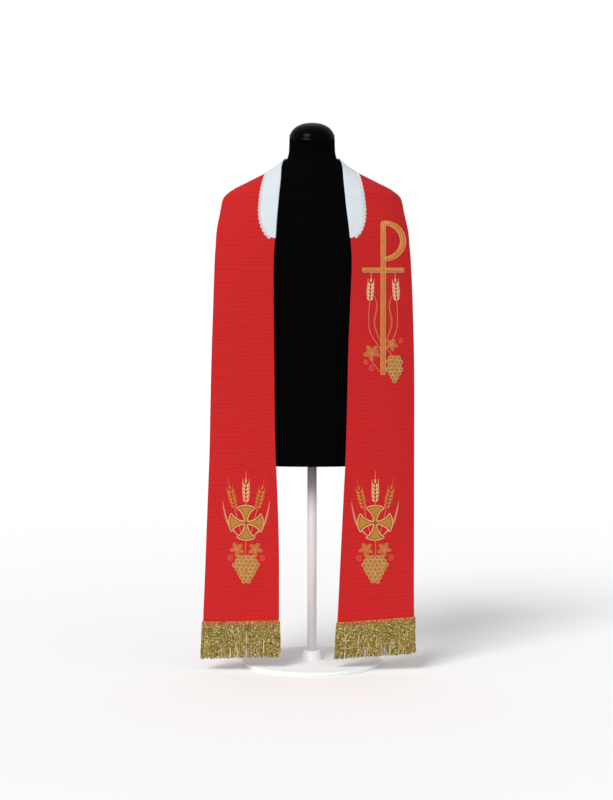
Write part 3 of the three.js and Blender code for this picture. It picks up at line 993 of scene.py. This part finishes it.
def wheat_ear(work, at, angle, grain, awn, floss):
    """Pairs of grains up a stalk, one on top, each with a fine awn."""
    pitch = grain * 0.82

    def hair(line):
        work.stroke(turned(line, angle, at), np.linspace(0.6, 0.25, len(line)), 0.4, floss)

    for k in range(GRAIN_PAIRS):
        for side in (-1, 1):
            line, wide = spindle(grain)
            line = turned(line, -side * 0.5, (side * 1.5, k * pitch))
            work.stroke(turned(line, angle, at), 0.15 + wide * 2.5, 1.1, floss)
            tip, spread = line[-1], side * (1.0 - 0.12 * k)
            bend = [spread * 1.6, awn * 0.45]
            reach = [spread * 2.2, awn * abs(spread)]
            hair(curve(tip, tip + bend, tip + reach, steps=8))
    line, wide = spindle(grain * 1.1)
    top = GRAIN_PAIRS * pitch
    work.stroke(turned(line + [0, top], angle, at), 0.15 + wide * 2.1, 0.9, floss)
    hair(curve((0, top + grain), (0, top + grain + awn), steps=6))


def blade(work, points, wide, floss):
    """A grass blade that tapers to both ends."""
    line = curve(*points, steps=22)
    t = np.linspace(0, 1, len(line))
    work.stroke(line, 0.2 + wide * np.sin(math.pi * t**0.8) ** 0.8, 0.7, floss)


LOBES = 5
TEETH = 30
NOTCH = {"deep": 0.35, "wide": 0.3}  # where the stalk joins the leaf


def leaf_outline(size):
    """Five pointed lobes with a finely toothed edge, the stalk at the bottom."""
    turn = np.linspace(0, 2 * math.pi, 3 * TEETH, endpoint=False)
    off = turn - math.pi / 2
    lobes = 1 - np.arccos(np.abs(np.cos(LOBES / 2 * off))) / (math.pi / 2)
    from_stalk = np.abs(np.angle(np.exp(1j * (off - math.pi))))
    far = size * (0.52 + 0.55 * lobes**1.1) * (1 + 0.05 * np.sign(np.sin(TEETH * off)))
    far = far * (1 - NOTCH["deep"] * np.exp(-((from_stalk / NOTCH["wide"]) ** 2)))
    return circle(turn, far)


def vine_leaf(work, at, angle, size):
    """A filled leaf with a stitched rim and five veins."""
    outline = turned(leaf_outline(size), angle, at)
    work.patch(outline, 0.7, LEAF, centre=at)
    work.stroke(outline[::2], 0.55, 0.75, ORANGE, closed=True)
    for lobe in range(-2, 3):
        reach = size * (0.82 if lobe % 2 == 0 else 0.8)
        turn = math.pi / 2 + lobe * 2 * math.pi / LOBES
        tip = (reach * math.cos(turn), reach * math.sin(turn))
        vein = turned([(0, 0), (tip[0] * 0.5, tip[1] * 0.5), tip], angle, at)
        work.stroke(curve(*vein, steps=8), np.linspace(0.7, 0.25, 9), 1.1, OLIVE)


def grapes(work, at, rows, size):
    """A bunch of round grapes in rows, each a disc with a raised ring and a lit arc."""
    disc = circle(turns(16))
    for k, count in enumerate(rows):
        for j in range(count):
            place = [(j - (count - 1) / 2) * size * 1.95, -k * size * 1.7]
            centre = np.array(at) + place + RNG.normal(0, 0.4, 2)
            work.patch(disc * size * 0.82 + centre, 1.0, GRAPE, centre=centre)
            work.stroke(disc * size * 0.86 + centre, size * 0.17, 1.35, OLIVE, closed=True)
            work.stroke(disc[2:7] * size * 0.45 + centre, size * 0.1, 1.3, PALE)


def tendril(work, at, angle, size, hand):
    """A thin spiral that starts straight and curls up."""
    t = np.linspace(0, 1, 46)
    turn = hand * t**1.4 * 3.6 * math.pi
    far = size * (1 - 0.82 * t)
    spiral = np.stack([far * np.sin(turn), size * 0.9 - far * np.cos(turn) * 0.9], axis=1)
    work.stroke(turned(spiral, angle, at), 0.45, 0.4, STEM)


CROSS_END = 0.56  # half of the angle that an arm's end takes up
ARM = [(0.085, 0.085), (0.22, 0.1), (0.42, 0.165), (0.66, 0.31)]  # along and half width
FILL = {"steps": 12, "columns": 9, "high": 1.1, "sunk": 0.2}


def arm_side(radius, steps):
    """One side of an arm from the centre out, as the length along it and its half width."""
    return smooth_line(np.vstack([np.array(ARM) * radius, circle([CROSS_END], radius)]), steps)


def cross_outline(radius, shrink=0.0):
    """The cross's outline, anticlockwise, drawn in by shrink mm on all sides."""
    side = arm_side(radius, 16)
    arc = circle(np.linspace(-CROSS_END, CROSS_END, 13), radius)
    up = side[1:-1]
    arm = np.vstack([up * [1, -1], arc, up[::-1], side[:1]])
    outline = np.vstack([turned(arm, k * math.pi / 2) for k in range(4)])
    return outline + sideways(outline, closed=True) * shrink


def cross_fill(work, radius):
    """Four padded arms of amber thread, as rows from the centre to each end."""
    columns, rows = FILL["columns"], FILL["steps"] + 1
    across = np.linspace(-1, 1, columns)
    bow = radius * np.cos(across * CROSS_END) - radius * math.cos(CROSS_END)
    arm = [
        np.stack([reach + bow * (k / FILL["steps"]) ** 3, across * half], axis=1)
        for k, (reach, half) in enumerate(arm_side(radius, FILL["steps"]))
    ]
    level = np.tile(1 - np.abs(across) ** 3 * 0.7, rows) * FILL["high"]
    fade = np.repeat(np.clip((rows - np.arange(rows)) / 2, 0.3, 1), columns)
    count = rows * columns
    rim = [*range(columns), *range(2 * columns - 1, count, columns)]
    rim += [*range(count - 2, count - columns - 1, -1), *range(count - 2 * columns, 0, -columns)]
    walls = [[a + count, b + count, b, a] for a, b in zip(rim, rim[1:] + rim[:1])]
    faces = grid_faces(rows, columns)
    faces = faces[:, ::-1].tolist() + (faces + count).tolist() + walls
    for k in range(4):
        flat = turned(np.concatenate(arm), k * math.pi / 2)
        top = work.lay(flat, FACE + level * fade)
        low = work.lay(flat, np.full(count, FACE - FILL["sunk"]))
        uv = np.vstack([flat, flat]) * MM
        work.sew(np.vstack([top, low]), faces, uv, AMBER, -1)


def add_cross(panel, x, z):
    """Amber fill, a dark line inside its edge and a pale satin border."""
    work = Stitching(x, z)
    cross_fill(work, CROSS_RADIUS - 1.5)
    work.stroke(cross_outline(CROSS_RADIUS - 1.2, 2.6), 0.75, 1.3, DARK, closed=True)
    work.stroke(cross_outline(CROSS_RADIUS - 1.2), 1.35, 1.7, PALE, closed=True)
    return kept(work.object(f"applied_cross_{panel.name}", FLOSS), "gold_satin",
                f"cross_{panel.name}")


# The hem's three ears: foot, lean, and two heights up the stalk.
EARS = [((0, -44), 0.0, 33, 92), ((-8, -40), 0.24, 25, 76), ((8, -40), -0.24, 25, 76)]


def add_hem_emblem(panel, x, z):
    """Round the cross: three fanned ears of wheat above, two leaves and a grape bunch below."""
    work = Stitching(x, z, panel.side)
    for foot, lean, bend, far in EARS:
        stalk = turned(curve((0, 0), (0, bend), (0, far), steps=16), lean, foot)
        work.stroke(stalk, 0.85, 0.6, STEM)
        wheat_ear(work, stalk[-1], lean, 10.5, 20, ORANGE if lean else PALE)
    for side in (-1, 1):
        edge = [(side * 12, -36), (side * 40, -6), (side * 50, 24), (side * 55, 52)]
        blade(work, edge, 2.6, STEM)
        vine_leaf(work, (side * 21, -62), side * 0.75, 17)
        tendril(work, (side * 30, -78), side * -2.2, 9, -side)
    work.stroke(curve((0, -40), (1.5, -60), (0, -76), steps=12), 1.1, 0.8, ORANGE)
    grapes(work, (0, -80), (4, 5, 6, 5, 4, 3, 2), 5.4)
    return kept(work.object(f"hem_emblem_{panel.name}", FLOSS), "gold_satin")


def bordered(work, line, half, high):
    """A broad stroke in orange with a pale cord along both sides and round its ends."""
    side = sideways(line) * np.broadcast_to(half, len(line))[:, None]
    rim = np.vstack([line - side, (line + side)[::-1]])
    work.stroke(line, half, high, ORANGE)
    work.stroke(rim, 0.7, high, PALE, closed=True)


def add_upper_emblem(x, z):
    """A plain staurogram with wheat on both sides, two leaves, grapes and a winding vine."""
    work = Stitching(x, z)
    bordered(work, curve((0, 172), (0, 20), (0, -178), steps=60), 5.2, 1.1)
    bordered(work, curve((-48, 62), (0, 62), (48, 62), steps=24), 4.8, 1.2)
    turn = np.linspace(math.pi / 2 + 0.12, -math.pi / 2 + 0.02, 36)
    loop = np.stack([3 + 43 * np.cos(turn), 129 + 41 * np.sin(turn)], axis=1)
    bordered(work, loop, 4.6 + 1.6 * np.sin(np.linspace(0, math.pi, 36)), 1.25)
    for side in (-1, 1):
        stalk = [(side * 5, -120), (side * 30, -80), (side * 33, -40), (side * 31, -8)]
        work.stroke(curve(*stalk, steps=30), 0.8, 0.6, STEM)
        wheat_ear(work, stalk[-1], side * 0.06, 10, 17, WHEAT)
        edge = [(side * 4, -110), (side * 20, -60), (side * 14, -18), (side * 24, 12)]
        blade(work, edge, 2.2, LEAF)
    vine = curve((-8, -172), (-26, -140), (2, -118), (24, -142), (8, -165), (26, -178), steps=60)
    work.stroke(vine, 0.75, 0.6, STEM)
    vine_leaf(work, (-26, -128), 0.6, 20)
    vine_leaf(work, (20, -110), -0.5, 15)
    tendril(work, (-20, -158), 2.4, 9, 1)
    tendril(work, (-34, -150), 1.2, 7, -1)
    tendril(work, (36, -104), -0.8, 7, 1)
    grapes(work, (27, -140), (3, 4, 3, 4, 3, 2, 1), 5.2)
    return kept(work.object("upper_emblem", FLOSS), "gold_satin")


# ---- the dress form and its stand ----


FORM_SEGMENTS = 144
UNDER_EDGE = {"high": 7, "tuck": 0.03}  # the rounding round the form's underside


def add_torso():
    """The jersey-covered form, with its rings closer together from the shoulders up."""
    low, top = FORM["z"][0], FORM["z"][-1]
    levels = np.concatenate([np.linspace(low, 1040, 70), np.linspace(1045, top, 60)])
    z, turn = matched(levels[:, None], turns(FORM_SEGMENTS))
    half, front, back, blunt, lean = form_ring(z)
    middle, power = (front + back) / 2, 2 / blunt
    c, s = np.cos(turn), np.sin(turn)
    x = half * np.sign(c) * np.abs(c) ** power
    y = (back - middle) * np.sign(s) * np.abs(s) ** power
    near = np.clip((z - low) / UNDER_EDGE["high"], 0, 1)
    tuck = 1 - UNDER_EDGE["tuck"] * (1 - np.sqrt(1 - (1 - near) ** 2))
    points = np.stack([x * tuck, middle + y * tuck, z + y * lean], axis=1)
    uv = np.stack([turn * 0.16, z * MM], axis=1)
    faces = tubes((len(levels), FORM_SEGMENTS))
    return kept(make("form_cover", points, faces, [JERSEY], uv=uv), "black_jersey", "torso")


def add_cap():
    """A shallow dome with a rounded rim, tilted forward."""
    radius, high = CAP["radius"], CAP["high"]
    profile = [(0, 0.6), (radius - 2.5, 0.6), (radius - 0.7, 1.2), (radius, 3), (radius, 5.5)]
    profile.append((radius - 0.6, 7))
    for turn in np.linspace(0.16, 1, 22)[:-1] * math.pi / 2:
        profile.append(((radius - 0.6) * math.cos(turn) ** 0.85, high * math.sin(turn)))
    profile.append((0, high))
    middle = (FORM["front"][-1] + FORM["back"][-1]) / 2
    cap = lathe("cap", profile, 128, PLASTIC, (0, middle, FORM["z"][-1]), math.atan(CAP["tilt"]))
    return kept(cap, "black_plastic", "neck_cap")


def add_stand():
    """A plain pole on a round base with a raised boss."""
    foot = BASE["thick"] + BASE["boss_high"]
    top = FORM["z"][0] - SEAM
    pole = [(0, foot), (POLE_RADIUS, foot), (POLE_RADIUS, top), (0, top)]
    kept(lathe("pole", pole, 64, STEEL), "white_steel", "stand_pole")
    radius, thick, bevel = BASE["radius"], BASE["thick"], BASE["bevel"]
    base = [(0, 0), (radius - 1, 0), (radius, 1), (radius, thick - bevel)]
    for a in np.linspace(0.3, 1.57, 6):
        base.append((radius - bevel + bevel * math.cos(a), thick - bevel + bevel * math.sin(a)))
    base += [(BASE["boss"] + 3, thick), (BASE["boss"] + 0.8, thick + 0.8), (BASE["boss"], thick + 3)]
    base += [(BASE["boss_top"] + 0.4, foot - 2), (BASE["boss_top"] - 1.2, foot), (0, foot)]
    kept(lathe("foot", base, 128, STEEL), "white_steel", "stand_base")


# ---- build ----

CROSS_CENTRES = {"left": (-152.5, 347), "right": (145.5, 347)}
UPPER_CENTRE = (163, 868)

cloth = {panel.name: add_panel(panel) for panel in PANELS}
guard = add_guard()
lace = add_lace()
sewn = {}
for panel in PANELS:
    centre = CROSS_CENTRES[panel.name]
    sewn[panel.name] = [
        add_fringe(panel),
        add_braid(panel),
        add_hem_emblem(panel, *centre),
        add_cross(panel, *centre),
    ]
sewn["right"].append(add_upper_emblem(*UPPER_CENTRE))
add_torso()
add_cap()
add_stand()

for panel in PANELS:
    stations = np.linspace(HEM, panel.length, 200)
    area = float(np.trapz(panel.width(stations), stations)) * MM * MM
    flat = (float(panel.width(HEM)) * MM, (panel.length - HEM + panel.extra / 2) * MM)

# ---- stage and light ----


FLOOR_RADIUS = 3600
FADE = {"from": 0.7, "to": 3.3}  # metres from the middle, where the floor turns clear
SKY_LIGHT = 0.58
SUN = {"energy": 2.05, "wide": 28, "aim": (1.2, 2.0, -2.1)}


def add_stage():
    """A pale round floor that fades out into the white surroundings."""
    points = np.column_stack([circle(turns(96), FLOOR_RADIUS), np.zeros(96)])
    finish = Finish("pale_floor", 0.9, specular=0.1)
    finish.color(linear(250, 250, 250))
    far = finish.node("VectorMath", {"operation": "LENGTH"})
    finish.links.new(finish.place.outputs["Object"], far.inputs[0])
    fade = finish.node("MapRange", {"interpolation_type": "SMOOTHSTEP"}, From_Min=FADE["from"],
                       From_Max=FADE["to"], To_Min=1.0, To_Max=0.0)
    finish.links.new(far.outputs["Value"], fade.inputs["Value"])
    finish.links.new(fade.outputs["Result"], finish.shader.inputs["Alpha"])
    floor = make("floor", points, [list(range(96))], [finish.material], smooth=False)


def add_light():
    """White surroundings, softer as a light than as a backdrop, and a sun from the upper left."""
    world = bpy.data.worlds.new("world")
    SCENE.world = world
    world.use_nodes = True
    nodes, links = world.node_tree.nodes, world.node_tree.links
    seen, lit = nodes["Background"], nodes.new("ShaderNodeBackground")
    seen.inputs["Color"].default_value = (1, 1, 1, 1)
    seen.inputs["Strength"].default_value = 1.0
    lit.inputs["Color"].default_value = (1, 1, 1, 1)
    lit.inputs["Strength"].default_value = SKY_LIGHT
    path, mix = nodes.new("ShaderNodeLightPath"), nodes.new("ShaderNodeMixShader")
    links.new(path.outputs["Is Camera Ray"], mix.inputs["Fac"])
    links.new(lit.outputs[0], mix.inputs[1])
    links.new(seen.outputs[0], mix.inputs[2])
    links.new(mix.outputs[0], nodes["World Output"].inputs["Surface"])
    sun = bpy.data.lights.new("key", "SUN")
    sun.energy = SUN["energy"]
    sun.angle = math.radians(SUN["wide"])
    key = bpy.data.objects.new("key", sun)
    SCENE.collection.objects.link(key)
    key.rotation_euler = Vector(SUN["aim"]).to_track_quat("-Z", "Y").to_euler()
    SCENE.view_settings.view_transform = "Standard"


add_stage()
add_light()
